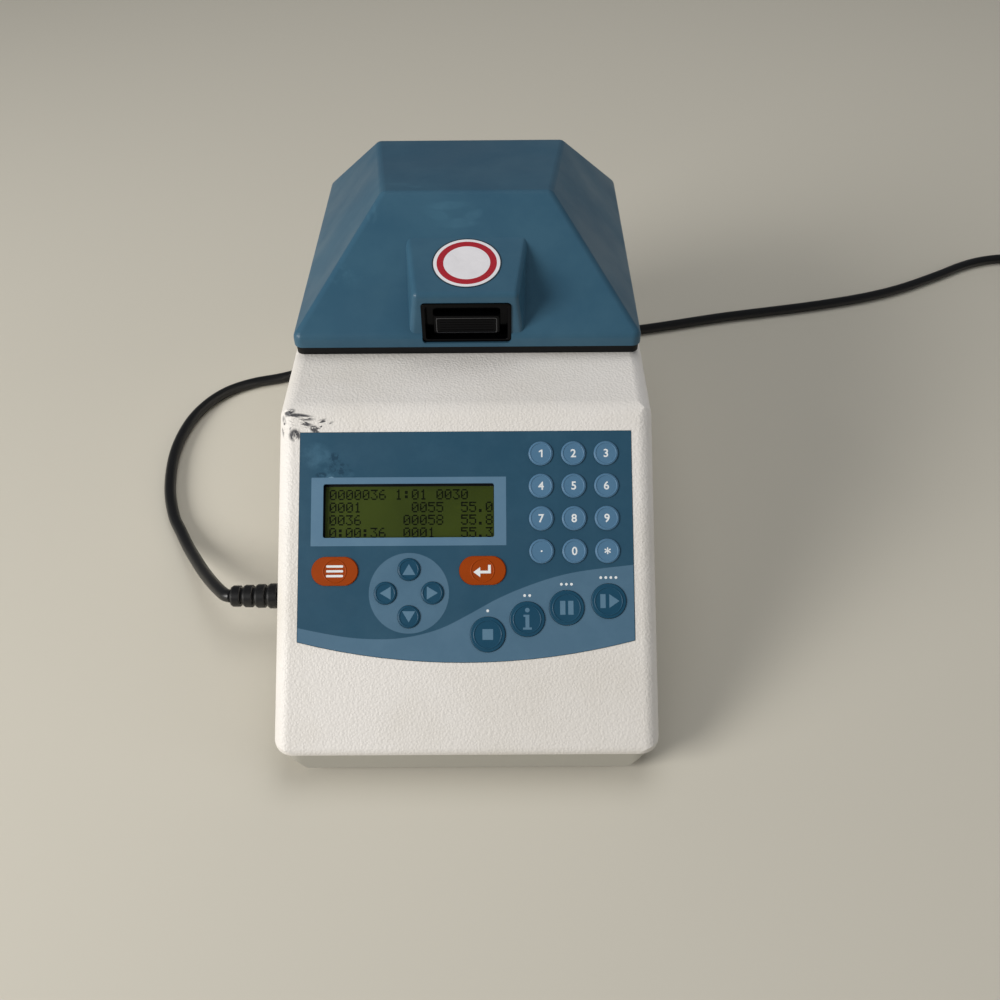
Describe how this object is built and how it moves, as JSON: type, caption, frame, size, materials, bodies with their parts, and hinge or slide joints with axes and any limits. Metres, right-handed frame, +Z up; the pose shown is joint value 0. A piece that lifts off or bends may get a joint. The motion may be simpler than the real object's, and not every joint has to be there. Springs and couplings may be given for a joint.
{
  "type": "thermal cycler",
  "caption": "Bench thermal cycler: sloped keypad housing, hipped blue lid on a rear hinge with a front press latch, heated plate over a drilled sample block, fan and heat sink, free mains lead.",
  "frame": {"origin": "on the bench, under the middle of the instrument's bounding box (free lead left out)", "axes": "+X to the operator's right, +Y to the back, +Z up; the keypad faces -Y"},
  "size_m": [0.6819, 0.4337, 0.17],
  "materials": {
    "white_shell": "off-white moulded plastic with a fine leather-like grain",
    "grey_shell": "grey-beige moulded plastic, smooth and satin",
    "rubber": "black rubber, dull",
    "steel": "bright plated steel",
    "switch_film": "flexible printed film",
    "overlay": "dark and light blue printed overlay, satin",
    "lcd_window": "clear window",
    "lcd": "olive display",
    "board": "green circuit board",
    "black_plastic": "black moulded plastic, satin",
    "black_gloss": "black moulded plastic, glossy",
    "block_metal": "machined light alloy",
    "sink_metal": "extruded light alloy, grey",
    "ceramic": "white ceramic faces",
    "cord": "black flexible plastic, slightly glossy",
    "brass": "brass",
    "lid_paint": "grey-blue paint, semi-gloss with a fine texture",
    "carrier": "heat-proof plastic",
    "key_number": "mid blue key",
    "key_wide": "orange key",
    "key_dark": "dark blue key"
  },
  "bodies": {
    "base": {"base_tray": "grey_shell", "feet": "rubber", "case_screws": "steel", "top_housing": "white_shell", "switch_layer": "switch_film", "key_overlay": "overlay", "lcd_window": "lcd_window", "lcd_module": "lcd", "main_board": "board", "power_supply": "steel", "block_surround": "black_plastic", "block_gasket": "rubber", "sample_block": "block_metal", "peltier_modules": "ceramic", "heat_sink": "sink_metal", "fan_frame": "black_plastic", "fan_guard": "steel", "hinge_lugs": "black_plastic", "hinge_pins": "steel", "latch_keeper": "steel", "switch_bezel": "black_plastic", "cord_boot": "cord", "lead_cord": "cord", "lead_coil": "cord", "plug_body": "cord", "plug_pins": "brass"},
    "lid": {"lid_shell": "lid_paint", "lid_frame": "black_plastic", "heated_plate": "block_metal", "plate_carrier": "carrier", "latch_bezel": "black_gloss", "latch_pin": "steel", "latch_spring": "steel"},
    "latch": {"latch_lever": "black_gloss"},
    "fan": {"fan_impeller": "black_plastic"},
    "switch": {"rocker": "black_gloss"},
    "key_0_body": {"key_0": "key_number"},
    "key_1_body": {"key_1": "key_number"},
    "key_2_body": {"key_2": "key_number"},
    "key_3_body": {"key_3": "key_number"},
    "key_4_body": {"key_4": "key_number"},
    "key_5_body": {"key_5": "key_number"},
    "key_6_body": {"key_6": "key_number"},
    "key_7_body": {"key_7": "key_number"},
    "key_8_body": {"key_8": "key_number"},
    "key_9_body": {"key_9": "key_number"},
    "key_point_body": {"key_point": "key_number"},
    "key_star_body": {"key_star": "key_number"},
    "key_menu_body": {"key_menu": "key_wide"},
    "key_enter_body": {"key_enter": "key_wide"},
    "key_up_body": {"key_up": "key_dark"},
    "key_down_body": {"key_down": "key_dark"},
    "key_left_body": {"key_left": "key_dark"},
    "key_right_body": {"key_right": "key_dark"},
    "key_stop_body": {"key_stop": "key_dark"},
    "key_info_body": {"key_info": "key_dark"},
    "key_pause_body": {"key_pause": "key_dark"},
    "key_continue_body": {"key_continue": "key_dark"}
  },
  "joints": [
    {"name": "lid_hinge", "type": "hinge", "parent": "base", "child": "lid", "pos_m": [0, 0.152, 0.124], "axis": [-1, 0, 0], "range_deg": [0, 90]},
    {"name": "latch_press", "type": "hinge", "parent": "lid", "child": "latch", "pos_m": [0, 0.0064, 0.14], "axis": [1, 0, 0], "range_deg": [0, 10], "stiffness_Nm_per_rad": 0.4, "springref_deg": -5.73},
    {"name": "fan_spin", "type": "hinge", "parent": "base", "child": "fan", "pos_m": [0, 0.1417, 0.065], "axis": [0, 1, 0], "continuous": true},
    {"name": "mains_rocker", "type": "hinge", "parent": "base", "child": "switch", "pos_m": [-0.058, 0.15435, 0.04], "axis": [1, 0, 0], "range_deg": [-12, 0]},
    {"name": "key_0_press", "type": "slide", "parent": "base", "child": "key_0_body", "axis": [0, 0.6408, -0.7677], "range_m": [0, 0.0004], "stiffness_N_per_m": 500},
    {"name": "key_1_press", "type": "slide", "parent": "base", "child": "key_1_body", "axis": [0, 0.6408, -0.7677], "range_m": [0, 0.0004], "stiffness_N_per_m": 500},
    {"name": "key_2_press", "type": "slide", "parent": "base", "child": "key_2_body", "axis": [0, 0.6408, -0.7677], "range_m": [0, 0.0004], "stiffness_N_per_m": 500},
    {"name": "key_3_press", "type": "slide", "parent": "base", "child": "key_3_body", "axis": [0, 0.6408, -0.7677], "range_m": [0, 0.0004], "stiffness_N_per_m": 500},
    {"name": "key_4_press", "type": "slide", "parent": "base", "child": "key_4_body", "axis": [0, 0.6408, -0.7677], "range_m": [0, 0.0004], "stiffness_N_per_m": 500},
    {"name": "key_5_press", "type": "slide", "parent": "base", "child": "key_5_body", "axis": [0, 0.6408, -0.7677], "range_m": [0, 0.0004], "stiffness_N_per_m": 500},
    {"name": "key_6_press", "type": "slide", "parent": "base", "child": "key_6_body", "axis": [0, 0.6408, -0.7677], "range_m": [0, 0.0004], "stiffness_N_per_m": 500},
    {"name": "key_7_press", "type": "slide", "parent": "base", "child": "key_7_body", "axis": [0, 0.6408, -0.7677], "range_m": [0, 0.0004], "stiffness_N_per_m": 500},
    {"name": "key_8_press", "type": "slide", "parent": "base", "child": "key_8_body", "axis": [0, 0.6408, -0.7677], "range_m": [0, 0.0004], "stiffness_N_per_m": 500},
    {"name": "key_9_press", "type": "slide", "parent": "base", "child": "key_9_body", "axis": [0, 0.6408, -0.7677], "range_m": [0, 0.0004], "stiffness_N_per_m": 500},
    {"name": "key_point_press", "type": "slide", "parent": "base", "child": "key_point_body", "axis": [0, 0.6408, -0.7677], "range_m": [0, 0.0004], "stiffness_N_per_m": 500},
    {"name": "key_star_press", "type": "slide", "parent": "base", "child": "key_star_body", "axis": [0, 0.6408, -0.7677], "range_m": [0, 0.0004], "stiffness_N_per_m": 500},
    {"name": "key_menu_press", "type": "slide", "parent": "base", "child": "key_menu_body", "axis": [0, 0.6408, -0.7677], "range_m": [0, 0.0004], "stiffness_N_per_m": 500},
    {"name": "key_enter_press", "type": "slide", "parent": "base", "child": "key_enter_body", "axis": [0, 0.6408, -0.7677], "range_m": [0, 0.0004], "stiffness_N_per_m": 500},
    {"name": "key_up_press", "type": "slide", "parent": "base", "child": "key_up_body", "axis": [0, 0.6408, -0.7677], "range_m": [0, 0.0004], "stiffness_N_per_m": 500},
    {"name": "key_down_press", "type": "slide", "parent": "base", "child": "key_down_body", "axis": [0, 0.6408, -0.7677], "range_m": [0, 0.0004], "stiffness_N_per_m": 500},
    {"name": "key_left_press", "type": "slide", "parent": "base", "child": "key_left_body", "axis": [0, 0.6408, -0.7677], "range_m": [0, 0.0004], "stiffness_N_per_m": 500},
    {"name": "key_right_press", "type": "slide", "parent": "base", "child": "key_right_body", "axis": [0, 0.6408, -0.7677], "range_m": [0, 0.0004], "stiffness_N_per_m": 500},
    {"name": "key_stop_press", "type": "slide", "parent": "base", "child": "key_stop_body", "axis": [0, 0.6408, -0.7677], "range_m": [0, 0.0004], "stiffness_N_per_m": 500},
    {"name": "key_info_press", "type": "slide", "parent": "base", "child": "key_info_body", "axis": [0, 0.6408, -0.7677], "range_m": [0, 0.0004], "stiffness_N_per_m": 500},
    {"name": "key_pause_press", "type": "slide", "parent": "base", "child": "key_pause_body", "axis": [0, 0.6408, -0.7677], "range_m": [0, 0.0004], "stiffness_N_per_m": 500},
    {"name": "key_continue_press", "type": "slide", "parent": "base", "child": "key_continue_body", "axis": [0, 0.6408, -0.7677], "range_m": [0, 0.0004], "stiffness_N_per_m": 500}
  ]
}
